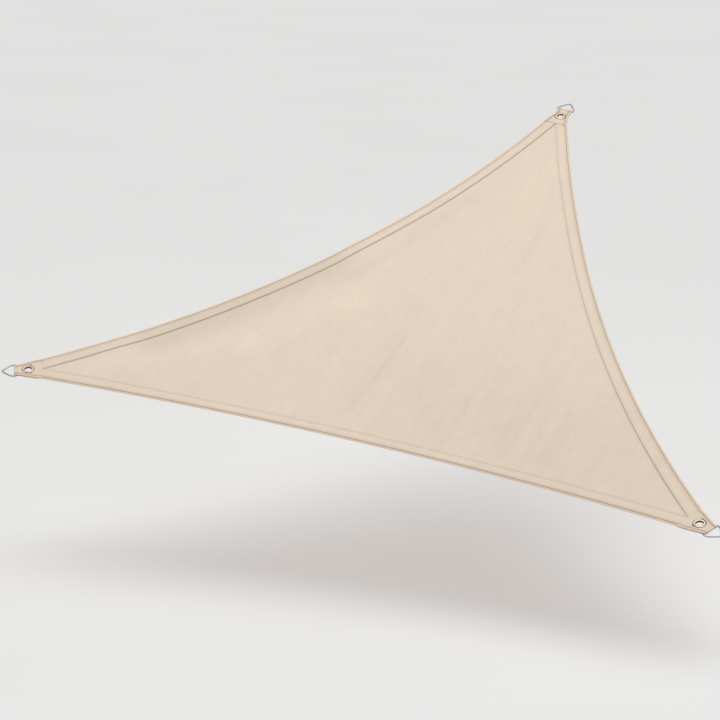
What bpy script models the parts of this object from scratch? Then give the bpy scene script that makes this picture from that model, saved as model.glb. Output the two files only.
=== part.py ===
"""Triangular shade sail, held up by a ring at each corner.

One hemmed cloth panel with three hollow edges sags between its corners. At each corner a heavy strip
folds round the bar of a delta ring, and its two layers hold the panel's corner between them.
An eyelet goes through the strip. Metres, +Z up. The origin is inside the tip of the far ring.
"""

import math

import bmesh
import bpy
from mathutils import Matrix, Vector

SIDE = 3.0
CORNERS = {"left": 210, "right": 330, "far": 90}
REACH = {"left": -0.004, "right": -0.008, "far": 0.024}
STRIP_TURN = {"left": 0, "right": 4, "far": -5}
LEAN, LEAN_STARTS = 0.024, 0.85
PITCH, ROLL, TURN = 23.5, -3.3, -23.4

HOLLOW = 0.122
SAG = 0.072
PANEL_THICK = 0.0012
HEM_THICK = 0.0024
HEM_WIDTH = 0.055
HEM_MEETS = 0.115
HEM_STEP = 0.004
PANEL_ROWS = 24

GAP = 0.0006
LAYER = 0.0015
PATCH_LENGTH = 0.116
PATCH_HALF_END = 0.033
PATCH_HALF_THICK = HEM_THICK / 2 + GAP + LAYER
CLOTH_STARTS = 0.088
SLOT_CLEARANCE = 0.006

WIRE = 0.007
BAR_CLEARANCE = 0.0005
LOOP_RADIUS = WIRE / 2 + BAR_CLEARANCE + LAYER
RING_HALF_WIDTH = 0.0394
RING_SHOULDER = (0.020, 0.0335)
RING_LENGTH = 0.0565
RING_BASE_BEND = 0.0045
RING_SHOULDER_BEND = 0.030
RING_TIP_BEND = 0.0125

EYELET_IN = 0.058
EYELET_HOLE = 0.0145
EYELET_BARREL = 0.0160
EYELET_FLANGE = 0.0230
EYELET_PLATE = 0.0018
EYELET_STEPS = 24

CLOTH = ("sail_knit", (0.79, 0.65, 0.50), 0.9, 0.0)
STRIP = ("corner_strip", (0.76, 0.62, 0.47), 0.85, 0.0)
BRASS = ("eyelet_metal", (0.80, 0.74, 0.64), 0.35, 1.0)
STEEL = ("ring_steel", (0.72, 0.73, 0.74), 0.22, 1.0)

# The ring's centre line: a triangle on its bar with bowed sides, each corner bent to a radius.
RING_OUTLINE = (
    ((0.0, RING_HALF_WIDTH), RING_BASE_BEND, 5),
    (RING_SHOULDER, RING_SHOULDER_BEND, 4),
    ((RING_LENGTH, 0.0), RING_TIP_BEND, 9),
    ((RING_SHOULDER[0], -RING_SHOULDER[1]), RING_SHOULDER_BEND, 4),
    ((0.0, -RING_HALF_WIDTH), RING_BASE_BEND, 5),
)
RING_TIP_SIDE = math.hypot(RING_LENGTH - RING_SHOULDER[0], RING_SHOULDER[1])
RING_TIP = RING_LENGTH - RING_TIP_BEND * (RING_TIP_SIDE / RING_SHOULDER[1] - 1)
PULL = RING_TIP - WIRE / 2 - LOOP_RADIUS

# Distances from the middle of the sail, in its own plane.
PULL_RADIUS = SIDE / math.sqrt(3)
TAB_RADIUS = PULL_RADIUS - PULL
OUTER_MIDDLE = TAB_RADIUS / 2 - HOLLOW
TIP_RADIUS = TAB_RADIUS + 0.075

ATTITUDE = (
    Matrix.Rotation(math.radians(PITCH), 4, "X")
    @ Matrix.Rotation(math.radians(ROLL), 4, "Y")
    @ Matrix.Rotation(math.radians(TURN), 4, "Z")
)


def clear_scene():
    for obj in list(bpy.data.objects):
        bpy.data.objects.remove(obj, do_unlink=True)


def new_collection(name):
    collection = bpy.data.collections.new(name)
    bpy.context.scene.collection.children.link(collection)
    return collection


def material(name, color, roughness, metallic):
    made = bpy.data.materials.get(name) or bpy.data.materials.new(name)
    made.use_nodes = True
    shader = made.node_tree.nodes["Principled BSDF"]
    shader.inputs["Base Color"].default_value = (*color, 1.0)
    shader.inputs["Roughness"].default_value = roughness
    shader.inputs["Metallic"].default_value = metallic
    return made


def add_object(name, data, collection, finish=None, frame=None):
    obj = bpy.data.objects.new(name, data)
    collection.objects.link(obj)
    if finish:
        data.materials.clear()
        data.materials.append(material(*finish))
    if frame:
        obj.matrix_world = frame
    return obj


def meshed(obj, collection):
    """The curve's evaluated shape as a mesh object of the same name and place, its loose caps joined."""
    bpy.context.view_layer.update()
    graph = bpy.context.evaluated_depsgraph_get()
    mesh = bpy.data.meshes.new_from_object(obj.evaluated_get(graph))
    name, frame = obj.name, obj.matrix_world.copy()
    bpy.data.objects.remove(obj, do_unlink=True)
    work = bmesh.new()
    work.from_mesh(mesh)
    bmesh.ops.remove_doubles(work, verts=work.verts, dist=0.00001)
    bmesh.ops.recalc_face_normals(work, faces=work.faces)
    work.to_mesh(mesh)
    work.free()
    return add_object(name, mesh, collection, frame=frame)


def outward(angle):
    return Vector((math.cos(math.radians(angle)), math.sin(math.radians(angle)), 0.0))


def hang(flat):
    """World place of a point of the flat sail: turned to its attitude and let down by the sag there.

    The far corner is pulled a little to the left.
    """
    drop = SAG * (1 - flat.to_2d().length_squared / PULL_RADIUS**2)
    share = max(0.0, flat.y - LEAN_STARTS) / (TAB_RADIUS - LEAN_STARTS)
    return ATTITUDE @ (flat - Vector((LEAN * share**1.3, 0.0, 0.0))) - Vector((0.0, 0.0, drop))


def corner_frame(corner):
    """Axes of one corner: +X out along the sail, +Z up out of it, origin at the end of the strip's fold."""
    out = outward(CORNERS[corner])
    across = outward(CORNERS[corner] + 90)
    end = TAB_RADIUS + REACH[corner]
    held = end - (CLOTH_STARTS + PATCH_LENGTH) / 2
    y_axis = ATTITUDE @ across
    z_axis = (hang(out * (held + 0.001)) - hang(out * (held - 0.001))).cross(y_axis).normalized()
    x_axis = y_axis.cross(z_axis)
    frame = Matrix((x_axis, y_axis, z_axis)).transposed().to_4x4()
    frame.translation = hang(out * held)
    turn = Matrix.Rotation(math.radians(STRIP_TURN[corner]), 4, "Z")
    return frame @ turn @ Matrix.Translation((end - held, 0.0, 0.0))


def hollow_point(weights, inset):
    """A flat point of the sail from its three corner weights, on the line this far in from the sail's edge.

    Each line is a triangle whose edges are parabolas, and the hem's inner line meets itself at each strip's end.
    """
    shrink = TIP_RADIUS - TAB_RADIUS + HEM_MEETS
    radii = [TIP_RADIUS - (shrink - reach) * inset / HEM_WIDTH for reach in REACH.values()]
    point = Vector()
    for index, angle in enumerate(CORNERS.values()):
        point += outward(angle) * radii[index] * weights[index]
        beside = weights[index - 1] * weights[index - 2]
        point += outward(angle) * 4 * beside * ((radii[index - 1] + radii[index - 2]) / 4 - OUTER_MIDDLE + inset)
    return point


def half_width(inward):
    """Half the sail's width at a corner, this far in from the end of a strip that has no extra reach."""
    run = TIP_RADIUS - TAB_RADIUS + inward
    side = TIP_RADIUS * math.sqrt(3)
    bow = TIP_RADIUS / 2 - OUTER_MIDDLE
    slope = side * math.cos(math.radians(30)) + 2 * bow
    along = (slope - math.sqrt(slope**2 - 8 * bow * run)) / (4 * bow)
    return side * along / 2 - 4 * bow * along * (1 - along) * math.cos(math.radians(30))


def panel_grid(work, share):
    """The panel inside its hem: a grid of small triangles between the three inner hem lines."""
    grid = {}
    for row in range(PANEL_ROWS + 1):
        for column in range(PANEL_ROWS + 1 - row):
            vert = grid[row, column] = work.verts.new()
            vert[share] = [count / PANEL_ROWS for count in (PANEL_ROWS - row - column, column, row)]
            vert.co = hollow_point(vert[share], HEM_WIDTH)
    for (row, column), here in grid.items():
        if row + column < PANEL_ROWS:
            right, above = grid[row, column + 1], grid[row + 1, column]
            work.faces.new((here, right, above))
        if row + column < PANEL_ROWS - 1:
            work.faces.new((right, grid[row + 1, column + 1], above))
    return set(grid.values())


def add_hem_row(work, share, inset):
    """One more row of faces outside the rim, out to the line this far in from the sail's edge."""
    rim = [edge for edge in work.edges if edge.is_boundary]
    for item in bmesh.ops.extrude_edge_only(work, edges=rim)["geom"]:
        if isinstance(item, bmesh.types.BMVert):
            item.co = hollow_point(item[share], inset)


def add_sail(collection):
    """The hemmed panel: its grid, a short step up to the thicker hem, the hem, and its trimmed corners."""
    work = bmesh.new()
    share = work.verts.layers.float_vector.new("share")
    panel = panel_grid(work, share)
    add_hem_row(work, share, HEM_WIDTH - HEM_STEP)
    add_hem_row(work, share, 0.0)
    for corner, angle in CORNERS.items():
        out = outward(angle)
        everything = [*work.verts, *work.edges, *work.faces]
        cut_at = out * (TAB_RADIUS + REACH[corner] - CLOTH_STARTS)
        bmesh.ops.bisect_plane(work, geom=everything, plane_co=cut_at, plane_no=out, clear_outer=True)
    for vert in work.verts:
        vert.co = hang(vert.co)
    bmesh.ops.recalc_face_normals(work, faces=work.faces)
    work.verts.index_update()
    hem = [vert.index for vert in work.verts if vert not in panel]
    mesh = bpy.data.meshes.new("sail_cloth")
    work.to_mesh(mesh)
    work.free()
    sail = add_object("sail_cloth", mesh, collection, CLOTH)
    sail.vertex_groups.new(name="hem").add(hem, 1.0, "REPLACE")
    solidify = sail.modifiers.new("thickness", "SOLIDIFY")
    solidify.thickness = HEM_THICK
    solidify.offset = 0.0
    solidify.vertex_group = "hem"
    solidify.thickness_vertex_group = PANEL_THICK / HEM_THICK


def arc_points(center, radius, start, end, steps):
    for step in range(steps + 1):
        angle = math.radians(start + (end - start) * step / steps)
        yield center[0] + radius * math.cos(angle), center[1] + radius * math.sin(angle)


def patch_outline():
    """Side view of the folded strip: two layers open at the inner end, sewn together, then round the bar."""
    meet = math.degrees(math.asin(PATCH_HALF_THICK / LOOP_RADIUS))
    slot = PATCH_HALF_THICK - LAYER
    slot_end = SLOT_CLEARANCE - CLOTH_STARTS
    outline = [(-PATCH_LENGTH, -PATCH_HALF_THICK)]
    outline += arc_points((-LOOP_RADIUS, 0.0), LOOP_RADIUS, meet - 180, 180 - meet, 16)
    outline += [(-PATCH_LENGTH, PATCH_HALF_THICK), (-PATCH_LENGTH, slot), (slot_end, slot)]
    outline += [(slot_end, -slot), (-PATCH_LENGTH, -slot)]
    return outline


def add_patch(name, reach, frame, collection, cutters):
    """The strip folded round the bar, as wide as the hemmed corner that it holds, with its eyelet hole."""
    curve = bpy.data.curves.new(name, "CURVE")
    curve.dimensions = "2D"
    curve.fill_mode = "BOTH"
    curve.extrude = PATCH_HALF_END
    tunnel = list(arc_points((-LOOP_RADIUS, 0.0), WIRE / 2 + BAR_CLEARANCE, 0, 330, 11))
    for points in (patch_outline(), tunnel):
        spline = curve.splines.new("POLY")
        spline.points.add(len(points) - 1)
        for point, (along, up) in zip(spline.points, points):
            point.co = (along, up, 0.0, 1.0)
        spline.use_cyclic_u = True
    upright = Matrix.Rotation(math.radians(90), 4, "X")
    patch = meshed(add_object(name, curve, collection, frame=frame @ upright), collection)
    patch.data.materials.append(material(*STRIP))
    for vert in patch.data.vertices:
        width = max(PATCH_HALF_END, half_width(-vert.co.x - reach))
        vert.co.z = math.copysign(width, vert.co.z)
    bpy.ops.mesh.primitive_cylinder_add(vertices=EYELET_STEPS, radius=EYELET_BARREL + 0.0006, depth=0.03)
    drill = bpy.context.object
    drill.name = name + "_drill"
    for owner in list(drill.users_collection):
        owner.objects.unlink(drill)
    cutters.objects.link(drill)
    drill.matrix_world = frame @ Matrix.Translation((-EYELET_IN, 0.0, 0.0))
    drill.hide_render = True
    drill.display_type = "WIRE"
    cut = patch.modifiers.new("eyelet_hole", "BOOLEAN")
    cut.operation = "DIFFERENCE"
    cut.object = drill
    return patch


def add_eyelet(name, frame, collection):
    """A bobbin turned from one profile: a barrel with a rolled flange above and below the strip."""
    grip = PATCH_HALF_THICK + GAP
    top = grip + EYELET_PLATE
    upper = [
        (EYELET_HOLE, grip),
        (EYELET_HOLE + 0.0006, top - 0.0004),
        (EYELET_HOLE + 0.0020, top),
        (EYELET_FLANGE - 0.0015, top),
        (EYELET_FLANGE, top - 0.0008),
        (EYELET_FLANGE, grip),
        (EYELET_BARREL, grip),
    ]
    profile = upper + [(radius, -height) for radius, height in reversed(upper)]
    mesh = bpy.data.meshes.new(name)
    work = bmesh.new()
    verts = [work.verts.new((radius, 0.0, height)) for radius, height in profile]
    for start, end in zip(verts, verts[1:] + verts[:1]):
        work.edges.new((start, end))
    work.to_mesh(mesh)
    work.free()
    eyelet = add_object(name, mesh, collection, BRASS, frame @ Matrix.Translation((-EYELET_IN, 0.0, 0.0)))
    screw = eyelet.modifiers.new("turn", "SCREW")
    screw.steps = screw.render_steps = EYELET_STEPS
    screw.use_merge_vertices = True
    screw.merge_threshold = 0.00001
    screw.use_normal_calculate = True
    return eyelet


def bent_outline(corners):
    """Points of a closed outline whose corners are bent to a radius: (point, radius, steps) for each."""
    points = []
    for index, (corner, radius, steps) in enumerate(corners):
        here = Vector(corner)
        before = (Vector(corners[index - 1][0]) - here).normalized()
        after = (Vector(corners[(index + 1) % len(corners)][0]) - here).normalized()
        half = before.angle(after) / 2
        center = here + (before + after).normalized() * radius / math.sin(half)
        start = here + before * radius / math.tan(half) - center
        turn = (math.pi - 2 * half) * math.copysign(1, before.cross(after) * -1)
        for step in range(steps + 1):
            points.append(center + Matrix.Rotation(turn * step / steps, 2) @ start)
    return points


def add_ring(name, frame, collection):
    """A delta ring of round wire, its straight bar in the fold of the strip."""
    curve = bpy.data.curves.new(name, "CURVE")
    curve.dimensions = "3D"
    curve.bevel_depth = WIRE / 2
    curve.bevel_resolution = 2
    points = bent_outline(RING_OUTLINE)
    spline = curve.splines.new("POLY")
    spline.points.add(len(points) - 1)
    for point, (along, across) in zip(spline.points, points):
        point.co = (along - LOOP_RADIUS, across, 0.0, 1.0)
    spline.use_cyclic_u = True
    curve.materials.append(material(*STEEL))
    return add_object(name, curve, collection, frame=frame)


def smooth_round(objects):
    for obj in objects:
        if obj.type == "MESH":
            obj.data.shade_smooth()
            obj.data.set_sharp_from_angle(angle=math.radians(40))


def main():
    clear_scene()
    sail_parts = new_collection("shade_sail")
    cutters = new_collection("cutters")
    add_sail(sail_parts)
    for corner in CORNERS:
        frame = corner_frame(corner)
        add_patch("corner_patch_" + corner, REACH[corner], frame, sail_parts, cutters)
        add_eyelet("eyelet_" + corner, frame, sail_parts)
        add_ring("ring_" + corner, frame, sail_parts)
    origin = corner_frame("far") @ Vector((PULL, 0.0, 0.0))
    bpy.context.view_layer.update()
    for obj in [*sail_parts.objects, *cutters.objects]:
        obj.matrix_world = Matrix.Translation(-origin) @ obj.matrix_world
    smooth_round(sail_parts.objects)


main()
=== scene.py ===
"""Triangular shade sail of sand-coloured knit with a folded strip, an eyelet and a ring at each corner.

The cloth, strips, eyelets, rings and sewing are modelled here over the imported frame. Metres, +Z up.
"""

import math

import bmesh
import bpy
import numpy as np
from mathutils import Matrix, Vector

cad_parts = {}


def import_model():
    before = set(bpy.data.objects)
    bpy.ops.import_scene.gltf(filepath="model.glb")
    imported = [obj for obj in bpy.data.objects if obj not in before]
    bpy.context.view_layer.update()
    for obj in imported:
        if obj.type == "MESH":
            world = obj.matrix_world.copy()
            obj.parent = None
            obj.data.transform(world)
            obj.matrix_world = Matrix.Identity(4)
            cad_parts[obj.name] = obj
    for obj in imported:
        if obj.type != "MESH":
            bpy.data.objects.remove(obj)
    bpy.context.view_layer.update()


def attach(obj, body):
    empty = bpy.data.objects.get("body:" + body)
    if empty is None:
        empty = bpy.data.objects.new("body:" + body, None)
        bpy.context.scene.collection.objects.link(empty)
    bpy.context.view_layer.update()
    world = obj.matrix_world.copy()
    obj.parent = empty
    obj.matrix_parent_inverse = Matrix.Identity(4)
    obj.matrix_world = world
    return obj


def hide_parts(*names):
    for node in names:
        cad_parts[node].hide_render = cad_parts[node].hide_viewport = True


# The sail's own plan, as the frame was built. Flat sail points are measured from the sail's middle.
SIDE = 3.0
CORNERS = {"left": 210, "right": 330, "far": 90}
REACH = {"left": -0.004, "right": -0.008, "far": 0.024}
STRIP_TURN = {"left": 0, "right": 4, "far": -5}
LEAN, LEAN_STARTS, LEAN_CURVE = 0.024, 0.85, 1.3
PITCH, ROLL, TURN = 23.5, -3.3, -23.4
HOLLOW = 0.122
SAG = 0.072
HEM_WIDTH = 0.055
HEM_MEETS = 0.115
TIP_PAST_TAB = 0.075
HEM_THICK = 0.0024
WIRE = 0.007
WIRE_CLEARANCE = 0.0005
RING_HALF_WIDTH = 0.0394
RING_SHOULDER = (0.020, 0.0335)
RING_LENGTH = 0.0565
RING_BASE_BEND = 0.0045
RING_SHOULDER_BEND = 0.030
RING_TIP_BEND = 0.0125
EYELET_IN = 0.058
STRIP_LENGTH = 0.116
STRIP_LAYER = 0.0015
STRIP_HALF_END = 0.033
STRIP_GAP = 0.0006
CLOTH_STARTS = 0.088
LOOP_RADIUS = WIRE / 2 + WIRE_CLEARANCE + STRIP_LAYER
RING_TIP_SIDE = math.hypot(RING_LENGTH - RING_SHOULDER[0], RING_SHOULDER[1])
RING_TIP = RING_LENGTH - RING_TIP_BEND * (RING_TIP_SIDE / RING_SHOULDER[1] - 1)
PULL = RING_TIP - WIRE / 2 - LOOP_RADIUS
PULL_RADIUS = SIDE / math.sqrt(3)
TAB_RADIUS = PULL_RADIUS - PULL
OUTER_MIDDLE = TAB_RADIUS / 2 - HOLLOW
INNER_MIDDLE = OUTER_MIDDLE - HEM_WIDTH
TIP_RADIUS = TAB_RADIUS + TIP_PAST_TAB
INNER_RADIUS = TAB_RADIUS - HEM_MEETS
ATTITUDE = (
    Matrix.Rotation(math.radians(PITCH), 3, "X")
    @ Matrix.Rotation(math.radians(ROLL), 3, "Y")
    @ Matrix.Rotation(math.radians(TURN), 3, "Z")
)

# Cloth make-up: the grain, the panel's grid, its thickness and how far it lies under the middle surface, and
# the rows of sewing, by how far in from the edge and how high they are.
GRAIN_ANGLE = 90.0
GRID_ROWS = 168
CLOTH_THICK = 0.0011
BASE_HEIGHT = -0.0006
OUTER_SEAM, SECOND_SEAM, INNER_SEAM = 0.0092, 0.0190, 0.0500
SEAM_HEIGHT = 0.0013
THREAD_SUNK = 0.0002
# The hem's section in millimetres, (in from the edge, up from the middle surface): under, round, over.
HEM_UNDER = [(44, -0.6), (30, -0.6), (18, -0.6), (9.6, -0.6), (7, -0.95), (4.8, -1.5), (3.1, -1.75)]
HEM_ROUND = [(1.7, -1.5), (0.6, -0.85), (0.2, 0.0), (0.6, 0.9), (1.7, 1.6)]
HEM_OVER = [
    (3.0, 1.95), (4.6, 1.8), (6.2, 1.3), (7.7, 0.8), (8.5, 0.56), (9.2, 0.5), (10, 0.62), (11.4, 0.9),
    (13.8, 1.15), (16.4, 1.05), (18.2, 0.7), (19, 0.6), (19.9, 0.7), (23, 1.0), (30, 1.15),
    (38, 1.1), (45, 1.1), (48.5, 0.8), (50, 0.6), (51.5, 0.75), (53.5, 1.05), (55, 1.25),
]


def outward(angle):
    return np.array((math.cos(math.radians(angle)), math.sin(math.radians(angle))))


TURNED = np.array(ATTITUDE)
OUTWARDS = np.array([outward(angle) for angle in CORNERS.values()])
REACHES = np.array(list(REACH.values()))


def hang(flat, height=0.0):
    """Hung places of flat points, this far above the middle surface, measured from the sail's middle."""
    flat = np.atleast_2d(flat)
    drop = SAG * (1 - (flat**2).sum(axis=1) / PULL_RADIUS**2)
    share = np.maximum(flat[:, 1] - LEAN_STARTS, 0) / (TAB_RADIUS - LEAN_STARTS)
    leant = flat[:, 0] - LEAN * share**LEAN_CURVE
    raised = np.column_stack((leant, flat[:, 1], np.broadcast_to(height, len(flat))))
    return raised @ TURNED.T - np.column_stack((np.zeros((len(flat), 2)), drop))


def corner_axes(corner):
    """A corner's place, and its axes as columns: out along the sail, across it, and up out of it."""
    out, across = outward(CORNERS[corner]), outward(CORNERS[corner] + 90)
    end = TAB_RADIUS + REACH[corner]
    held = end - (CLOTH_STARTS + STRIP_LENGTH) / 2
    y_axis = TURNED @ np.append(across, 0.0)
    along = hang(out * (held + 0.001))[0] - hang(out * (held - 0.001))[0]
    z_axis = np.cross(along, y_axis)
    z_axis /= np.linalg.norm(z_axis)
    x_axis = np.cross(y_axis, z_axis)
    turn = math.radians(STRIP_TURN[corner])
    x_axis = x_axis * math.cos(turn) + y_axis * math.sin(turn)
    y_axis = np.cross(z_axis, x_axis)
    return hang(out * held)[0] + x_axis * (end - held), np.column_stack((x_axis, y_axis, z_axis))


FAR_PLACE, FAR_AXES = corner_axes("far")
ORIGIN = FAR_PLACE + FAR_AXES[:, 0] * PULL
SAIL_MIDDLE = -ORIGIN


def on_sail(flat, height=0.0):
    """Places of flat sail points in the frame, where the far ring is at the origin."""
    return hang(flat, height) - ORIGIN


def at_corner(corner, points):
    """Points given in a corner's own axes, put in their place."""
    place, axes = corner_axes(corner)
    return np.asarray(points) @ axes.T + place - ORIGIN


def to_corner(mesh, corner):
    """Moves a mesh made in a corner's own axes to its place."""
    place, axes = corner_axes(corner)
    matrix = Matrix(axes.tolist()).to_4x4()
    matrix.translation = Vector(place - ORIGIN)
    mesh.transform(matrix)


def bowed(shares, inset):
    """Flat places of points with these corner shares, on the line this far in from the sail's edge."""
    inset = np.broadcast_to(inset, len(shares))[:, None]
    radii = TIP_RADIUS - (TIP_RADIUS - INNER_RADIUS - REACHES) * inset / HEM_WIDTH
    flat = (shares * radii) @ OUTWARDS
    for index, out in enumerate(OUTWARDS):
        beside = shares[:, [index - 1]] * shares[:, [index - 2]]
        middle = (radii[:, [index - 1]] + radii[:, [index - 2]]) / 4
        flat = flat + out * 4 * beside * (middle - OUTER_MIDDLE + inset)
    return flat


def half_width(inward):
    """Half the sail's width at a corner, this far in from the end of a strip that has no extra reach."""
    run = TIP_RADIUS - TAB_RADIUS + inward
    side = TIP_RADIUS * math.sqrt(3)
    bow = TIP_RADIUS / 2 - OUTER_MIDDLE
    slope = side * math.cos(math.radians(30)) + 2 * bow
    along = (slope - np.sqrt(slope**2 - 8 * bow * run)) / (4 * bow)
    return side * along / 2 - 4 * bow * along * (1 - along) * math.cos(math.radians(30))


def smooth(value, start, end):
    """0 up to the start and 1 past the end, with an even curve between."""
    share = np.clip((value - start) / (end - start), 0, 1)
    return share * share * (3 - 2 * share)


def new_object(name, mesh):
    obj = bpy.data.objects.new(name, mesh)
    bpy.context.scene.collection.objects.link(obj)
    return obj


def new_mesh(name, points, faces=(), edges=()):
    mesh = bpy.data.meshes.new(name)
    mesh.from_pydata([tuple(p) for p in points], list(edges), list(faces))
    return mesh


def set_attribute(mesh, name, kind, values):
    layer = mesh.attributes.new(name, kind, "POINT")
    field = "vector" if kind == "FLOAT_VECTOR" else "value"
    layer.data.foreach_set(field, np.asarray(values, np.float32).ravel())


def baked(obj, finish):
    """The object's evaluated shape as its own plain mesh, smooth, with this finish."""
    bpy.context.view_layer.update()
    graph = bpy.context.evaluated_depsgraph_get()
    mesh = bpy.data.meshes.new_from_object(obj.evaluated_get(graph))
    obj.modifiers.clear()
    obj.data = mesh
    mesh.name = obj.name
    mesh.materials.clear()
    mesh.materials.append(finish)
    mesh.shade_smooth()
    return obj


def lathe(profile, steps, closed=False):
    """A mesh turned about Z from a profile of (radius, height), closed or with both ends on Z."""
    work = bmesh.new()
    verts = [work.verts.new((radius, 0.0, height)) for radius, height in profile]
    pairs = zip(verts, verts[1:] + verts[:1] if closed else verts[1:])
    edges = [work.edges.new(pair) for pair in pairs]
    bmesh.ops.spin(
        work, geom=verts + edges, cent=(0, 0, 0), axis=(0, 0, 1), angle=math.tau, steps=steps, use_merge=True
    )
    bmesh.ops.remove_doubles(work, verts=work.verts, dist=1e-6)
    bmesh.ops.recalc_face_normals(work, faces=work.faces)
    mesh = bpy.data.meshes.new("turned")
    work.to_mesh(mesh)
    work.free()
    return mesh


def belongs(obj, slot, *nodes):
    """The piece takes its place in the frame: its body and the nodes that it stands for. Its slot is not
    used.
    """
    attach(obj, "root")
    if nodes:
        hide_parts(*nodes)
    return obj


class Wiring:
    """Adds nodes to a tree. An input given as a socket is linked, and any other value is set."""

    def __init__(self, tree):
        self.tree = tree

    def feed(self, node, inputs):
        for key, value in inputs.items():
            if isinstance(value, bpy.types.NodeSocket):
                self.tree.links.new(value, node.inputs[key])
            else:
                node.inputs[key].default_value = value
        return node

    def add(self, kind, inputs=None, **settings):
        node = self.tree.nodes.new(kind)
        for name, value in settings.items():
            setattr(node, name, value)
        return self.feed(node, inputs or {})

    def math(self, operation, first, second=0.0, third=0.0):
        return self.add("ShaderNodeMath", {0: first, 1: second, 2: third}, operation=operation).outputs[0]

    def ramp(self, value, stops):
        """A colour ramp from stops of (place, tone), where a tone is a grey level or a colour."""
        node = self.add("ShaderNodeValToRGB", {0: value})
        elements = node.color_ramp.elements
        while len(elements) < len(stops):
            elements.new(0.5)
        for element, (place, tone) in zip(elements, stops):
            element.position = place
            element.color = (*tone, 1.0) if hasattr(tone, "__len__") else (tone,) * 3 + (1.0,)
        return node.outputs[0]

    def noise(self, vector, scale, detail, roughness=0.5):
        inputs = {"Vector": vector, "Scale": scale, "Detail": detail, "Roughness": roughness}
        return self.add("ShaderNodeTexNoise", inputs).outputs[0]

    def wave(self, vector, scale, direction):
        inputs = {"Vector": vector, "Scale": scale}
        return self.add("ShaderNodeTexWave", inputs, bands_direction=direction).outputs[1]

    def carried(self, name):
        """The number that the mesh carries at each point under this name, or 0 where it carries none."""
        return self.add("ShaderNodeAttribute", attribute_name=name).outputs[2]

    def along(self, vector, angle, length, width):
        """The vector's place in a pattern of streaks that run at this angle, this long and this wide."""
        inputs = {0: vector, 2: (0, 0, math.radians(angle)), 3: (length, width, 1)}
        return self.add("ShaderNodeMapping", inputs, vector_type="TEXTURE").outputs[0]

    def multiply(self, first, second, share=1.0):
        inputs = {0: share, 6: first, 7: second}
        return self.add("ShaderNodeMix", inputs, data_type="RGBA", blend_type="MULTIPLY").outputs[2]

    def bump(self, height, strength, distance):
        inputs = {"Height": height, "Strength": strength, "Distance": distance}
        return self.add("ShaderNodeBump", inputs).outputs[0]


def new_finish(name):
    """A material with a bare Principled shader, and the wiring to feed it."""
    made = bpy.data.materials.new(name)
    made.use_nodes = True
    return made, Wiring(made.node_tree), made.node_tree.nodes["Principled BSDF"]


# What a hem's seams do to the cloth, by the share of HEM_MARKS_SPAN that a point is in from the edge: the
# rolled rim's tint, the painted shade in the grooves at the outer and the inner seam, and where the cloth
# puckers.
HEM_MARKS_SPAN = 0.08
RIM_TINT = [(0.0, (1.0, 0.95, 0.89)), (0.07, (1.0, 0.95, 0.89)), (0.1, (0.985, 0.98, 0.975))]
OUTER_GROOVE_SHADE = [(0.072, 0.0), (0.095, 1.0), (0.132, 1.0), (0.155, 0.35), (0.26, 0.0)]
INNER_GROOVE_SHADE = [(0.655, 0.0), (0.682, 1.0), (0.716, 1.0), (0.75, 0.3), (0.84, 0.0)]
PUCKERED = [(0.0, 0.3), (0.12, 1.0), (0.3, 0.7), (0.6, 1.0), (0.69, 0.0)]

# The painted contact shadow round an eyelet on its strip, by the share of CONTACT_SHADOW_SPAN from the
# eyelet's middle.
CONTACT_SHADOW_SPAN = 0.05
EYELET_CONTACT_SHADOW = [(0.0, 1.0), (0.455, 1.0), (0.465, (0.50, 0.40, 0.33)), (0.505, (0.55, 0.45, 0.38)), (0.56, 1.0)]


def knit_shade(wiring, plan, grain, color):
    """The knit's shade: grain, flecks and clouds, the streaks that the mesh carries, and the painted light
    and shade that it carries.
    """
    broad = wiring.noise(wiring.along(plan, GRAIN_ANGLE, 1 / 2.5, 1 / 24), 1.0, 3.0)
    flecks = wiring.ramp(wiring.noise(plan, 150.0, 3.0, 0.7), [(0.3, 0.93), (0.7, 1.0)])
    clouds = wiring.ramp(wiring.noise(plan, 9.0, 3.0), [(0.3, 0.975), (0.7, 1.0)])
    streaks = wiring.ramp(broad, [(0.35, 0.93), (0.65, 1.0)])
    shade = wiring.multiply(wiring.ramp(grain, [(0.3, 0.95), (0.7, 1.0)]), flecks)
    shade = wiring.multiply(wiring.multiply(shade, clouds), streaks, wiring.carried("streaks"))
    # Painted light and shade over the soft folds and across the cloth.
    painted_shading = wiring.carried("painted_shading")
    painted_shading_color = wiring.add("ShaderNodeCombineColor", {0: painted_shading, 1: painted_shading, 2: painted_shading}).outputs[0]
    return wiring.multiply(wiring.multiply(shade, (*color, 1.0)), painted_shading_color)


def rim_tint_and_seam_shade(wiring, shade, hem_share):
    """The shade with a hem's rolled rim tinted and painted shade laid in the grooves of its two seams, as
    much as the mesh carries.
    """
    rim_shaded = wiring.math("MULTIPLY", wiring.ramp(hem_share, OUTER_GROOVE_SHADE), wiring.carried("rim_groove_shade"))
    seam_shaded = wiring.math("MULTIPLY", wiring.ramp(hem_share, INNER_GROOVE_SHADE), wiring.carried("seam_groove_shade"))
    shade = wiring.multiply(shade, wiring.ramp(hem_share, RIM_TINT))
    # Painted shade in the grooves beside the rolled rim and the inner seam.
    shade = wiring.multiply(shade, (0.58, 0.47, 0.39, 1.0), rim_shaded)
    return wiring.multiply(shade, (0.70, 0.67, 0.64, 1.0), seam_shaded)


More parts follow.
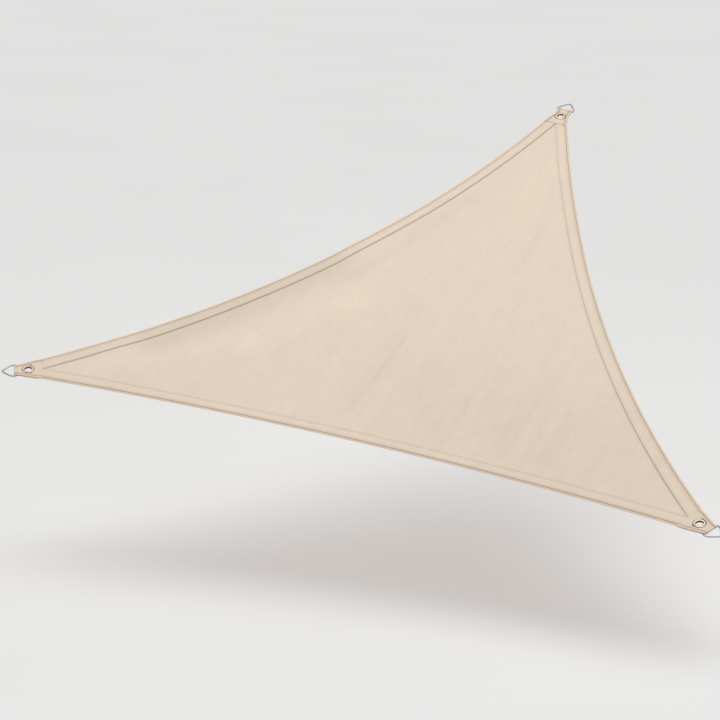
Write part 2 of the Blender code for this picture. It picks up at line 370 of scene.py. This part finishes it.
def eyelet_contact_shadow(wiring, shade, plan, strip_run):
    """The shade with a painted contact shadow round the eyelet, on both layers of a strip this long."""
    spot = wiring.add("ShaderNodeSeparateXYZ", {0: plan})
    from_fold = wiring.math("ABSOLUTE", wiring.math("SUBTRACT", spot.outputs[0], strip_run / 2))
    run = wiring.math("ADD", from_fold, STRIP_LENGTH - EYELET_IN - strip_run / 2)
    square = wiring.math("MULTIPLY_ADD", run, run, wiring.math("MULTIPLY", spot.outputs[1], spot.outputs[1]))
    away = wiring.math("MULTIPLY", wiring.math("SQRT", square), 1 / CONTACT_SHADOW_SPAN)
    # Painted contact shadow round the eyelet's washer.
    return wiring.multiply(shade, wiring.ramp(away, EYELET_CONTACT_SHADOW))


def puckers(wiring, inset, hem_share):
    """The height of small puckers across the hem."""
    along = wiring.math("MULTIPLY", wiring.carried("edge_along"), 55.0)
    across = wiring.math("MULTIPLY", inset, 22.0)
    place = wiring.add("ShaderNodeCombineXYZ", {0: along, 1: across}).outputs[0]
    masked = wiring.math("MULTIPLY", wiring.noise(place, 1.0, 2.0), wiring.ramp(hem_share, PUCKERED))
    return wiring.math("MULTIPLY", masked, 1.6)


def cloth_finish(name, color, strip_run=0.0):
    """Knit cloth with a hem's tint and painted groove shade, and a painted contact shadow round the eyelet
    where it is a corner strip of this length.
    """
    made, wiring, shader = new_finish(name)
    plan = wiring.add("ShaderNodeUVMap", uv_map="plan").outputs[0]
    grain = wiring.noise(wiring.along(plan, GRAIN_ANGLE, 1 / 25, 1 / 95), 1.0, 5.0, 0.62)
    inset = wiring.carried("edge_in")
    hem_share = wiring.math("MULTIPLY", inset, 1 / HEM_MARKS_SPAN)
    shade = rim_tint_and_seam_shade(wiring, knit_shade(wiring, plan, grain, color), hem_share)
    if strip_run:
        shade = eyelet_contact_shadow(wiring, shade, plan, strip_run)
    loops = wiring.math("MULTIPLY", wiring.wave(plan, 121.0, "X"), wiring.wave(plan, 98.0, "Y"))
    height = wiring.math("ADD", wiring.math("MULTIPLY", loops, 0.16), grain)
    height = wiring.math("ADD", height, puckers(wiring, inset, hem_share))
    wiring.feed(shader, {
        "Base Color": shade, "Normal": wiring.bump(height, 0.5, 0.0012),
        "Roughness": 0.88, "Specular IOR Level": 0.25,
    })
    return made


def thread_finish(name, color):
    """Twisted sewing thread."""
    made, wiring, shader = new_finish(name)
    place = wiring.add("ShaderNodeTexCoord").outputs["Object"]
    twist = wiring.noise(place, 900.0, 2.0)
    tone = wiring.ramp(twist, [(0.3, 0.75), (0.7, 1.0)])
    wiring.feed(shader, {
        "Base Color": wiring.multiply(tone, (*color, 1.0)), "Normal": wiring.bump(twist, 0.6, 0.0004),
        "Roughness": 0.7,
    })
    return made


def metal_finish(name, color, roughness, scuffed):
    """Metal with faint scuffs that change its gloss, and painted shade inside a bore that the mesh carries.
    """
    made, wiring, shader = new_finish(name)
    place = wiring.add("ShaderNodeTexCoord").outputs["Object"]
    scuffs = wiring.noise(place, 420.0, 4.0, 0.7)
    tone = wiring.ramp(wiring.noise(place, 90.0, 2.0), [(0.3, 0.9), (0.7, 1.0)])
    shade = wiring.multiply(tone, (*color, 1.0))
    # Painted shade inside the eyelet's bore.
    shade = wiring.multiply(shade, (0.28, 0.25, 0.22, 1.0), wiring.carried("bore"))
    wiring.feed(shader, {
        "Base Color": shade, "Normal": wiring.bump(scuffs, 0.15, 0.0003), "Metallic": 1.0,
        "Roughness": wiring.math("MULTIPLY_ADD", scuffs, scuffed, roughness - scuffed / 2),
    })
    return made


def grid_shares(rows):
    """Corner shares of a triangular grid's points, row by row, and the grid's faces."""
    start, shares, faces = [], [], []
    for row in range(rows + 1):
        start.append(len(shares))
        shares += [(rows - row - column, column, row) for column in range(rows + 1 - row)]
    for row in range(rows):
        for column in range(rows - row):
            here, above = start[row] + column, start[row + 1] + column
            faces.append((here, here + 1, above))
            if column < rows - row - 1:
                faces.append((here + 1, above + 1, above))
    return np.array(shares) / rows, faces


def rim_loop(shares):
    """The grid's boundary points in order round it, and how far along its own side each one is."""
    loop, along = [], []
    for side in range(3):
        zero = side - 1
        found = np.flatnonzero(shares[:, zero] < 1e-9)
        order = found[np.argsort(shares[found, (zero + 2) % 3])][:-1]
        loop += list(order)
        along += list(shares[order, (zero + 2) % 3])
    return loop, np.array(along)


def panel_inset(shares):
    """How far in from the sail's edge each point of the inner panel is."""
    side, bow = INNER_RADIUS * math.sqrt(3), INNER_RADIUS / 2 - INNER_MIDDLE
    nearest = np.full(len(shares), np.inf)
    for index in range(3):
        own = shares[:, index]
        middle = shares[:, index - 1] + own / 2
        slope = 4 * bow * (1 - 2 * middle) / side
        deep = own * INNER_RADIUS * 1.5 - 4 * bow * own * (1 - own) - bow * own**2
        nearest = np.minimum(nearest, deep / np.sqrt(1 + slope**2))
    return nearest + HEM_WIDTH


# How dark the painted shade is in the rim's groove on the front, right and left sides, and at the inner seam
# on the front and left ones. The right side's painted shade at its inner seam grows darker from the far
# corner to the right one.
RIM_SHADE_STRENGTH = (1.0, 0.5, 0.38)
SEAM_SHADE_STRENGTH = (0.45, 0.8)
RIGHT_SEAM_SHADE_STRENGTH = (0.15, 0.85)

# Soft folds in the stretched cloth: a line on the flat sail, how wide the fold is and how far it stands.
FOLDS = [
    ((-1.03, -0.44), (-0.56, 0.33), 0.10, -0.008),
    ((-1.10, -0.66), (-0.50, 0.02), 0.09, 0.007),
    ((-0.084, -0.04), (-0.107, -0.55), 0.018, -0.0022),
    ((-0.06, 0.20), (-0.07, -0.60), 0.06, 0.0035),
    ((-0.187, 0.96), (-0.45, 0.30), 0.05, -0.004),
    ((0.03, 1.20), (0.09, 0.45), 0.08, 0.004),
    ((0.62, -0.10), (0.60, -0.62), 0.07, -0.003),
]

# The folds die out between these distances in from the corner strips' ends.
FOLDS_FADE = (0.45, 0.13)

# Painted light and shade over the soft folds and across the cloth, in the same form: the last number is the
# share of change.
PAINTED_SHADING_BANDS = [
    ((-1.02, -0.42), (-0.56, 0.34), 0.085, -0.085),
    ((-1.22, -0.72), (-0.68, -0.28), 0.075, 0.030),
    ((-0.68, -0.28), (-0.40, 0.14), 0.08, 0.028),
    ((-0.40, 0.14), (-0.37, 0.60), 0.07, 0.022),
    ((-0.19, 0.96), (-0.47, 0.26), 0.035, -0.035),
    ((-0.084, -0.04), (-0.107, -0.55), 0.010, -0.055),
    ((-0.113, 0.20), (-0.129, -0.58), 0.035, -0.020),
    ((0.05, 1.32), (0.10, 0.85), 0.11, 0.016),
    ((0.30, -0.35), (0.90, -0.55), 0.33, -0.032),
    ((0.58, -0.10), (0.55, -0.62), 0.03, -0.018),
    ((0.74, -0.30), (0.72, -0.66), 0.03, -0.018),
    ((0.14, 1.14), (0.20, 0.60), 0.018, -0.022),
]

# How much the broad streaks in the knit show all over, and where they stand out more, in the same form.
STREAKS_ALL_OVER = 0.25
STREAKS = [((0.30, -0.45), (0.90, -0.55), 0.35, 0.35)]


def soft_lines(flat, lines):
    """The sum of soft bands at flat points: each is strongest on its own line and fades to both sides."""
    total = np.zeros(len(flat))
    for start, end, width, strength in lines:
        start, end = np.array(start), np.array(end)
        line = end - start
        along = ((flat - start) @ line) / (line @ line)
        away = np.linalg.norm(flat - start - along.clip(0, 1)[:, None] * line, axis=1)
        total += strength * np.exp(-((away / width) ** 2))
    return total


def fold_height(flat):
    """How far the soft folds lift the cloth at flat points. They die out towards the corners."""
    starts, ends = (TAB_RADIUS - inward for inward in FOLDS_FADE)
    towards_corner = (flat @ OUTWARDS.T).max(axis=1)
    return soft_lines(flat, FOLDS) * (1 - smooth(towards_corner, starts, ends))


def seam_shade_strengths(shares):
    """How dark the painted shade in the rim's groove and at the inner seam is beside each point, by the side
    that is nearest.
    """
    left, right, far = shares.T
    front = 1 - smooth(far, 0.0, 0.03) * smooth(np.minimum(left, right) - far, 0.05, -0.05)
    right_side = smooth(right - left, -0.02, 0.02)
    rim = front * RIM_SHADE_STRENGTH[0] + (1 - front) * np.where(right_side > 0.5, RIM_SHADE_STRENGTH[1], RIM_SHADE_STRENGTH[2])
    beside = RIGHT_SEAM_SHADE_STRENGTH[0] + (RIGHT_SEAM_SHADE_STRENGTH[1] - RIGHT_SEAM_SHADE_STRENGTH[0]) * right
    seam = front * SEAM_SHADE_STRENGTH[0] + (1 - front) * np.where(right_side > 0.5, beside, SEAM_SHADE_STRENGTH[1])
    return np.column_stack((rim, seam))


def sail_surface():
    """The flat panel with the hem's section swept round it: points, faces, and what the points carry."""
    shares, faces = grid_shares(GRID_ROWS)
    loop, loop_along = rim_loop(shares)
    panel_strengths = seam_shade_strengths(shares)
    flats, heights = [bowed(shares, HEM_WIDTH)], [np.full(len(shares), BASE_HEIGHT)]
    insets, alongs, strengths = [panel_inset(shares)], [np.zeros(len(shares))], [panel_strengths]
    before = loop
    for inset, height in HEM_UNDER + HEM_ROUND + HEM_OVER:
        first = sum(map(len, flats))
        row = list(range(first, first + len(loop)))
        flats.append(bowed(shares[loop], inset / 1000))
        heights.append(np.full(len(loop), height / 1000))
        insets.append(np.full(len(loop), inset / 1000))
        alongs.append(loop_along * SIDE)
        strengths.append(panel_strengths[loop])
        for index in range(len(loop)):
            ahead = (index + 1) % len(loop)
            faces.append((before[index], row[index], row[ahead], before[ahead]))
        before = row
    flats, strengths = np.vstack(flats), np.vstack(strengths)
    carried = {
        "edge_in": np.concatenate(insets), "edge_along": np.concatenate(alongs),
        "rim_groove_shade": strengths[:, 0], "seam_groove_shade": strengths[:, 1],
        # Bands of painted light and shade, and where the knit's streaks show more.
        "painted_shading": 1 + soft_lines(flats, PAINTED_SHADING_BANDS), "streaks": STREAKS_ALL_OVER + soft_lines(flats, STREAKS),
    }
    return np.column_stack((flats, np.concatenate(heights))), faces, carried


def make_sail(finish):
    """The cloth: a panel whose edges turn over its top as a hem, one sheet all through."""
    points, faces, carried = sail_surface()
    mesh = new_mesh("sail", points, faces)
    for name, values in carried.items():
        set_attribute(mesh, name, "FLOAT", values)
    work = bmesh.new()
    work.from_mesh(mesh)
    bmesh.ops.recalc_face_normals(work, faces=work.faces)
    if work.faces[0].normal.z < 0:
        bmesh.ops.reverse_faces(work, faces=work.faces)
    for out, reach in zip(OUTWARDS, REACHES):
        normal = Vector((*out, 0.0))
        place = normal * (TAB_RADIUS + reach - CLOTH_STARTS)
        whole = [*work.verts, *work.edges, *work.faces]
        bmesh.ops.bisect_plane(work, geom=whole, plane_co=place, plane_no=normal, clear_outer=True)
    plan = work.loops.layers.uv.new("plan")
    for face in work.faces:
        for corner in face.loops:
            corner[plan].uv = corner.vert.co.xy
    work.to_mesh(mesh)
    work.free()
    points = np.array([vert.co for vert in mesh.vertices])
    hung = on_sail(points[:, :2], points[:, 2] + fold_height(points[:, :2]))
    mesh.vertices.foreach_set("co", hung.astype(np.float32).ravel())
    mesh.update()
    sail = new_object("sail", mesh)
    solid = sail.modifiers.new("thickness", "SOLIDIFY")
    solid.thickness, solid.offset = CLOTH_THICK, 0.0
    return baked(sail, finish)


# The strip's section across, in millimetres: (in from its side, up from its flat layer).
STRIP_SIDE = [
    (-1.6, -1.5), (-1.2, -0.7), (-0.3, 0.1), (1.0, 0.75), (2.5, 1.05), (4.2, 1.0), (5.8, 0.65), (7.6, 0.1),
    (8.5, -0.2), (9.2, -0.35), (10, -0.25), (11.4, -0.05), (13.5, 0.1), (17, 0.0),
]
STRIP_FLAT = HEM_THICK / 2 + STRIP_GAP + STRIP_LAYER / 2

# Each side of a strip comes in this much at its inner end, over this length.
STRIP_TAPER, STRIP_TAPER_RUN = 0.0045, 0.03
# Where the closed sides begin to open, and where the fold is open, by the place along the corner's axis.
STRIP_OPENS, STRIP_OPEN = -0.018, -0.0095
# How dark the painted shade in the groove along a strip's sides is.
STRIP_RIM_SHADE_STRENGTH = 0.8
EYELET_CUT = 0.0166

# A strip's rows of sewing. The row behind the bar runs past the side rows, the side rows stop short of the
# inner end, and the row across the inner end stops short of the sides, each by this much.
BAR_ROW, BAR_ROW_PAST, SIDE_ROW_SHORT = -0.0135, 0.006, 0.004
END_ROW, END_ROW_SHORT = 0.006, 0.004
# Each of the hem's rows has this many points before it is sewn, and goes this far under the strips.
HEM_ROW_POINTS, HEM_ROW_UNDER = 600, 0.002


def strip_path():
    """The strip's line from its upper inner end, out, round the bar and back under: (x, z, up x, up z)."""
    radius = LOOP_RADIUS - STRIP_LAYER / 2
    meet = math.asin(STRIP_FLAT / radius)
    meet_x = -LOOP_RADIUS - radius * math.cos(meet)
    flat = list(np.linspace(-STRIP_LENGTH, meet_x, 40)[:-1])
    upper = [(x, STRIP_FLAT, 0.0, 1.0) for x in flat]
    round_bar = []
    for angle in np.linspace(math.pi - meet, meet - math.pi, 25):
        out, up = math.cos(angle), math.sin(angle)
        round_bar.append((radius * out - LOOP_RADIUS, radius * up, out, up))
    lower = [(x, -STRIP_FLAT, 0.0, -1.0) for x in reversed(flat)]
    return upper + round_bar + lower


def strip_length():
    line = np.array(strip_path())[:, :2]
    return float(np.linalg.norm(np.diff(line, axis=0), axis=1).sum())


def strip_surface(corner):
    """A corner strip's points in the corner's own axes, its flat pattern, and its section across."""
    sides = [(inset / 1000, lift / 1000) for inset, lift in STRIP_SIDE]
    section = [(-1, *item) for item in sides] + [(0, 0, 0)] + [(1, *item) for item in reversed(sides)]
    points, plan, path = [], [], strip_path()
    run = 0.0
    for index, (x, z, up_x, up_z) in enumerate(path):
        if index:
            run += math.hypot(x - path[index - 1][0], z - path[index - 1][1])
        half = max(STRIP_HALF_END, float(half_width(-x - REACH[corner])))
        half -= STRIP_TAPER * (1 - float(smooth(x, -STRIP_LENGTH, -STRIP_LENGTH + STRIP_TAPER_RUN)))
        closed = 1 - float(smooth(x, STRIP_OPENS, STRIP_OPEN))
        for side, inset, lift in section:
            inset = inset if inset > 0 else inset * closed
            y = side * (half - inset) if side else 0.0
            rise = lift * closed
            points.append((x + up_x * rise, y, z + up_z * rise))
            plan.append((run, y))
    return points, plan, section


def eyelet_drill(corner):
    """A round cutter where the eyelet goes through its strip."""
    mesh = lathe([(0.0, -0.02), (EYELET_CUT, -0.02), (EYELET_CUT, 0.02), (0.0, 0.02)], 48)
    mesh.transform(Matrix.Translation((-EYELET_IN, 0, 0)))
    to_corner(mesh, corner)
    return new_object("drill", mesh)


def make_strip(corner, finish):
    """The heavy strip folded round the ring's bar, its sides closed over the hem inside."""
    points, plan, section = strip_surface(corner)
    columns = len(section)
    rows = len(points) // columns
    faces = []
    for row in range(rows - 1):
        for here in range(row * columns, (row + 1) * columns - 1):
            faces.append((here, here + 1, here + columns + 1, here + columns))
    name = "folded_strip_" + corner
    mesh = new_mesh(name, at_corner(corner, points), faces)
    layer = mesh.uv_layers.new(name="plan")
    flat = np.array([plan[item.vertex_index] for item in mesh.loops], np.float32)
    layer.data.foreach_set("uv", flat.ravel())
    sides_in = [max(inset, 0) if side else 0.03 for side, inset, lift in section]
    set_attribute(mesh, "edge_in", "FLOAT", np.tile(sides_in, rows))
    set_attribute(mesh, "edge_along", "FLOAT", [item[0] for item in plan])
    set_attribute(mesh, "rim_groove_shade", "FLOAT", np.full(len(points), STRIP_RIM_SHADE_STRENGTH))
    set_attribute(mesh, "painted_shading", "FLOAT", np.ones(len(points)))
    work = bmesh.new()
    work.from_mesh(mesh)
    bmesh.ops.recalc_face_normals(work, faces=work.faces)
    work.to_mesh(mesh)
    work.free()
    strip = new_object(name, mesh)
    solid = strip.modifiers.new("thickness", "SOLIDIFY")
    solid.thickness, solid.offset = STRIP_LAYER - 0.0001, 0.0
    drill = eyelet_drill(corner)
    cut = strip.modifiers.new("eyelet_hole", "BOOLEAN")
    cut.operation, cut.object = "DIFFERENCE", drill
    baked(strip, finish)
    bpy.data.objects.remove(drill)
    return strip


# One half of the eyelet's section, in millimetres: barrel, rolled rim, step, washer and its turned edge.
EYELET_SECTION = [
    (14.5, 0.0), (14.5, 2.6), (14.7, 3.7), (15.3, 4.75), (16.2, 5.25), (17.2, 5.2), (17.9, 4.75),
    (18.2, 4.35), (18.6, 4.42), (19.6, 4.72), (20.8, 4.78), (21.9, 4.55), (22.7, 4.1), (23.0, 3.65),
    (22.7, 3.5), (21.5, 3.5), (16.2, 3.5), (16.0, 3.2), (16.0, 0.0),
]
# The painted shade in the bore ends between these distances from the eyelet's middle.
BORE_ENDS = (0.0147, 0.0158)


def make_eyelet(corner, finish):
    """A rolled metal eyelet through the strip, with a washer on each side."""
    upper = [(radius / 1000, height / 1000) for radius, height in EYELET_SECTION]
    lower = [(radius, -height) for radius, height in reversed(upper[1:-1])]
    mesh = lathe(upper + lower, 72, closed=True)
    away = np.array([vert.co.xy.length for vert in mesh.vertices])
    # Where the painted shade inside the bore lies.
    set_attribute(mesh, "bore", "FLOAT", 1 - smooth(away, *BORE_ENDS))
    mesh.transform(Matrix.Translation((-EYELET_IN, 0, 0)))
    to_corner(mesh, corner)
    eyelet = new_object("turned_eyelet_" + corner, mesh)
    mesh.materials.append(finish)
    mesh.shade_smooth()
    mesh.set_sharp_from_angle(angle=math.radians(50))
    return eyelet


def new_tree(name, sizes):
    """A Geometry Nodes tree with these named inputs and a Finish, its wiring, and its two end nodes."""
    tree = bpy.data.node_groups.new(name, "GeometryNodeTree")
    tree.interface.new_socket("Geometry", in_out="INPUT", socket_type="NodeSocketGeometry")
    for label, value in sizes.items():
        kind = "NodeSocketInt" if isinstance(value, int) else "NodeSocketFloat"
        tree.interface.new_socket(label, in_out="INPUT", socket_type=kind).default_value = value
    tree.interface.new_socket("Finish", in_out="INPUT", socket_type="NodeSocketMaterial")
    tree.interface.new_socket("Geometry", in_out="OUTPUT", socket_type="NodeSocketGeometry")
    return tree, Wiring(tree), tree.nodes.new("NodeGroupInput"), tree.nodes.new("NodeGroupOutput")


def end_tree(wiring, end, made, finish):
    """Ends a tree: what it made as one real mesh with its finish."""
    whole = wiring.add("GeometryNodeRealizeInstances", {0: made}).outputs[0]
    dressed = wiring.add("GeometryNodeSetMaterial", {"Geometry": whole, "Material": finish}).outputs[0]
    wiring.tree.links.new(dressed, end.inputs[0])


def grown(obj, tree, finish, **inputs):
    """The object with this tree run on it, as a plain mesh."""
    modifier = obj.modifiers.new(tree.name, "NODES")
    modifier.node_group = tree
    for item in tree.interface.items_tree:
        if item.in_out == "INPUT" and item.socket_type == "NodeSocketMaterial":
            modifier[item.identifier] = finish
        elif item.in_out == "INPUT" and item.name in inputs:
            modifier[item.identifier] = inputs[item.name]
    return baked(obj, finish)


def sewing_tree():
    """Stitches laid end to end along rows: each a short flattened bead, turned with its row."""
    sizes = {"Pitch": 0.009, "Length": 0.0072, "Thread": 0.0014, "Wander": 0.06, "Seed": 7}
    tree, wiring, start, end = new_tree("sewn_rows", sizes)
    given = start.outputs
    rows = wiring.add("GeometryNodeMeshToCurve", {0: given["Geometry"]}).outputs[0]
    inputs = {"Curve": rows, "Length": given["Pitch"]}
    spaced = wiring.add("GeometryNodeResampleCurve", inputs, mode="LENGTH").outputs[0]
    bead = wiring.add("GeometryNodeMeshUVSphere", {"Segments": 6, "Rings": 4, "Radius": 0.5}).outputs[0]
    tangent = wiring.add("GeometryNodeInputTangent").outputs[0]
    up = wiring.add("GeometryNodeInputNamedAttribute", {"Name": "up"}, data_type="FLOAT_VECTOR").outputs[0]
    align = "FunctionNodeAlignRotationToVector"
    row_wise = wiring.add(align, {"Vector": tangent}, axis="X").outputs[0]
    laid = wiring.add(align, {"Rotation": row_wise, "Vector": up}, axis="Z", pivot_axis="X").outputs[0]
    inputs = {2: wiring.math("MULTIPLY", given["Wander"], -1.0), 3: given["Wander"], "Seed": given["Seed"]}
    wander = wiring.add("FunctionNodeRandomValue", inputs, data_type="FLOAT").outputs[1]
    twist = wiring.add("ShaderNodeCombineXYZ", {2: wander}).outputs[0]
    turned = wiring.add("FunctionNodeRotateRotation", {0: laid, 1: twist}, rotation_space="LOCAL").outputs[0]
    flattened = wiring.math("MULTIPLY", given["Thread"], 0.8)
    inputs = {0: given["Length"], 1: given["Thread"], 2: flattened}
    size = wiring.add("ShaderNodeCombineXYZ", inputs).outputs[0]
    inputs = {"Points": spaced, "Instance": bead, "Rotation": turned, "Scale": size}
    stitches = wiring.add("GeometryNodeInstanceOnPoints", inputs).outputs[0]
    end_tree(wiring, end, stitches, given["Finish"])
    return tree


def ring_tree():
    """Round wire bent to a closed outline, each corner to its own radius."""
    tree, wiring, start, end = new_tree("bent_wire", {"Wire": WIRE, "Bend Steps": 10, "Wire Sides": 20})
    given = start.outputs
    line = wiring.add("GeometryNodeMeshToCurve", {0: given["Geometry"]}).outputs[0]
    bend = wiring.add("GeometryNodeInputNamedAttribute", {"Name": "bend"}, data_type="FLOAT").outputs[0]
    inputs = {"Curve": line, "Count": given["Bend Steps"], "Radius": bend}
    bent = wiring.add("GeometryNodeFilletCurve", inputs, mode="POLY").outputs[0]
    inputs = {"Resolution": given["Wire Sides"], "Radius": wiring.math("MULTIPLY", given["Wire"], 0.5)}
    section = wiring.add("GeometryNodeCurvePrimitiveCircle", inputs, mode="RADIUS").outputs[0]
    wire = wiring.add("GeometryNodeCurveToMesh", {"Curve": bent, "Profile Curve": section}).outputs[0]
    end_tree(wiring, end, wire, given["Finish"])
    return tree


def make_ring(corner, tree, finish):
    """A delta ring: a straight bar in the strip's fold, two shoulders and a rounded tip."""
    shoulder_x, shoulder_y = RING_SHOULDER
    outline = [
        (0.0, RING_HALF_WIDTH, RING_BASE_BEND),
        (shoulder_x, shoulder_y, RING_SHOULDER_BEND),
        (RING_LENGTH, 0.0, RING_TIP_BEND),
        (shoulder_x, -shoulder_y, RING_SHOULDER_BEND),
        (0.0, -RING_HALF_WIDTH, RING_BASE_BEND),
    ]
    points = at_corner(corner, [(x - LOOP_RADIUS, y, 0.0) for x, y, bend in outline])
    mesh = new_mesh("delta_ring_" + corner, points, edges=[(0, 1), (1, 2), (2, 3), (3, 4), (4, 0)])
    set_attribute(mesh, "bend", "FLOAT", [bend for x, y, bend in outline])
    return grown(new_object("delta_ring_" + corner, mesh), tree, finish)


def hem_row(inset, height):
    """Three open lines along the sail's sides, this far in from its edge, stopping at the strips."""
    lines, stops = [], TAB_RADIUS - STRIP_LENGTH + HEM_ROW_UNDER
    for side in range(3):
        along = np.linspace(0, 1, HEM_ROW_POINTS)
        shares = np.zeros((len(along), 3))
        shares[:, side - 1], shares[:, side - 2] = along, 1 - along
        flat = bowed(shares, inset)
        flat = flat[(flat @ OUTWARDS.T - REACHES).max(axis=1) < stops]
        place = on_sail(flat, height + fold_height(flat))
        lines.append((place, on_sail(flat, 1.0) - on_sail(flat, 0.0)))
    return lines


def sew(name, lines, tree, finish, **inputs):
    """One piece of sewing along lines of (places, upward directions)."""
    points, ups, edges = [], [], []
    for places, directions in lines:
        first = len(points)
        points += list(places)
        ups += list(directions)
        edges += [(index, index + 1) for index in range(first, len(points) - 1)]
    mesh = new_mesh(name, points, edges=edges)
    set_attribute(mesh, "up", "FLOAT_VECTOR", ups)
    return grown(new_object(name, mesh), tree, finish, **inputs)


def hem_rows(inset):
    """The sewing this far in from the sail's edge, above and below."""
    return hem_row(inset, SEAM_HEIGHT) + hem_row(inset, BASE_HEIGHT - CLOTH_THICK / 2 - THREAD_SUNK)


def over_and_under(corner, rows, height):
    """Rows of (x, y) in a corner's own axes as lines of sewing on both layers of its strip."""
    lines, axes = [], corner_axes(corner)[1]
    for up in (1, -1):
        for row in rows:
            places = at_corner(corner, [(x, y, up * height) for x, y in row])
            lines.append((places, np.tile(axes[:, 2] * up, (len(row), 1))))
    return lines


def strip_rows(corner):
    """The strip's sewing down both sides and behind the bar."""
    down = np.linspace(-STRIP_LENGTH + SIDE_ROW_SHORT, BAR_ROW, 30)
    side = half_width(-down - REACH[corner]).clip(STRIP_HALF_END) - OUTER_SEAM
    past = side[-1] + BAR_ROW_PAST
    rows = [list(zip(down, side)), list(zip(down, -side))]
    rows.append([(BAR_ROW, y) for y in np.linspace(-past, past, 6)])
    return over_and_under(corner, rows, STRIP_FLAT + STRIP_LAYER / 2 - THREAD_SUNK)


def end_rows(corner):
    """The sewing across the strip's inner end."""
    half = float(half_width(STRIP_LENGTH - END_ROW - REACH[corner])) - END_ROW_SHORT
    row = [(-STRIP_LENGTH + END_ROW, y) for y in np.linspace(-half, half, 8)]
    return over_and_under(corner, [row], STRIP_FLAT + STRIP_LAYER / 2)


# The studio: the camera's place from the sail's middle and how far down it looks, and the floor.
CAMERA_FROM_SAIL = (-0.2727, -9.9427, 2.3165)
CAMERA_DOWN = 14.0
FLOOR_HEIGHT = -1.67
FLOOR_REACH = 60.0


def set_camera():
    data = bpy.data.cameras.new("camera")
    data.lens, data.sensor_width = 125.0, 36.0
    data.clip_end = 200.0
    camera = new_object("camera", data)
    camera.location = Vector(SAIL_MIDDLE) + Vector(CAMERA_FROM_SAIL)
    camera.rotation_euler = (math.radians(90 - CAMERA_DOWN), 0.0, 0.0)
    bpy.context.scene.camera = camera


def set_lights():
    """An even sky, a high sun with soft edges, and one disc overhead."""
    world = bpy.data.worlds.new("studio")
    world.use_nodes = True
    sky = world.node_tree.nodes["Background"]
    sky.inputs[0].default_value, sky.inputs[1].default_value = (1.0, 0.943, 0.952, 1.0), 0.546
    bpy.context.scene.world = world
    disc = bpy.data.lights.new("overhead", "AREA")
    disc.shape, disc.size, disc.energy = "DISK", 3.2, 45.0
    overhead = new_object("overhead", disc)
    from_sail = Vector((0.2, -0.6, 4.2))
    overhead.location = Vector(SAIL_MIDDLE) + from_sail
    overhead.rotation_euler = (-from_sail).to_track_quat("-Z", "Y").to_euler()
    sun = bpy.data.lights.new("high_sun", "SUN")
    sun.energy, sun.angle, sun.color = 1.07, math.radians(55), (0.86, 1.0, 1.0)
    new_object("high_sun", sun).rotation_euler = (math.radians(-3), math.radians(2), 0.0)


def set_floor():
    """A pale seamless floor that gives off a little light of its own, so shadows on it are faint."""
    finish, wiring, shader = new_finish("floor_paper")
    clouds = wiring.noise(wiring.add("ShaderNodeTexCoord").outputs["Object"], 0.6, 2.0)
    wiring.feed(shader, {
        "Base Color": wiring.ramp(clouds, [(0.3, (0.50, 0.49, 0.485)), (0.7, (0.515, 0.505, 0.50))]),
        "Roughness": 0.9, "Specular IOR Level": 0.1,
        "Emission Color": (1.0, 0.995, 0.985, 1.0), "Emission Strength": 0.325,
    })
    turns = ((-1, -1), (1, -1), (1, 1), (-1, 1))
    corners = [(x * FLOOR_REACH, y * FLOOR_REACH, FLOOR_HEIGHT) for x, y in turns]
    floor = new_object("floor", new_mesh("floor", corners, [(0, 1, 2, 3)]))
    floor.data.materials.append(finish)


def main():
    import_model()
    bpy.context.scene.view_settings.view_transform = "Standard"
    set_camera()
    set_lights()
    set_floor()

    knit = cloth_finish("sail_knit", (0.83, 0.70, 0.565))
    canvas = cloth_finish("corner_strip", (0.82, 0.69, 0.555), strip_run=strip_length())
    brown = thread_finish("brown_thread", (0.40, 0.27, 0.18))
    sand = thread_finish("sand_thread", (0.60, 0.48, 0.37))
    nickel = metal_finish("eyelet_metal", (0.66, 0.57, 0.48), 0.42, 0.16)
    steel = metal_finish("ring_steel", (0.42, 0.42, 0.43), 0.16, 0.10)

    sail = belongs(make_sail(knit), "sail_knit", "sail_cloth")
    sewing, wire = sewing_tree(), ring_tree()
    seams = [
        sew("outer_seam", hem_rows(OUTER_SEAM), sewing, brown, Thread=0.0016, Seed=3),
        sew("second_seam", hem_rows(SECOND_SEAM), sewing, sand, Thread=0.0011, Seed=5),
        sew("inner_seam", hem_rows(INNER_SEAM), sewing, sand, Thread=0.0011, Seed=8),
    ]
    for seam in seams:
        belongs(seam, "sail_knit")
    strips, side_lines, end_lines = [], [], []
    for corner in CORNERS:
        strips.append(belongs(make_strip(corner, canvas), "corner_strip", "corner_patch_" + corner))
        belongs(make_eyelet(corner, nickel), "eyelet_metal", "eyelet_" + corner)
        belongs(make_ring(corner, wire, steel), "ring_steel", "ring_" + corner)
        side_lines += strip_rows(corner)
        end_lines += end_rows(corner)
    sizes = {"Thread": 0.0015, "Pitch": 0.008, "Length": 0.0064, "Seed": 4}
    belongs(sew("strip_seams", side_lines, sewing, brown, **sizes), "corner_strip")
    sizes = {"Thread": 0.0008, "Pitch": 0.007, "Length": 0.0056, "Seed": 6}
    belongs(sew("strip_end_seams", end_lines, sewing, sand, **sizes), "corner_strip")


main()
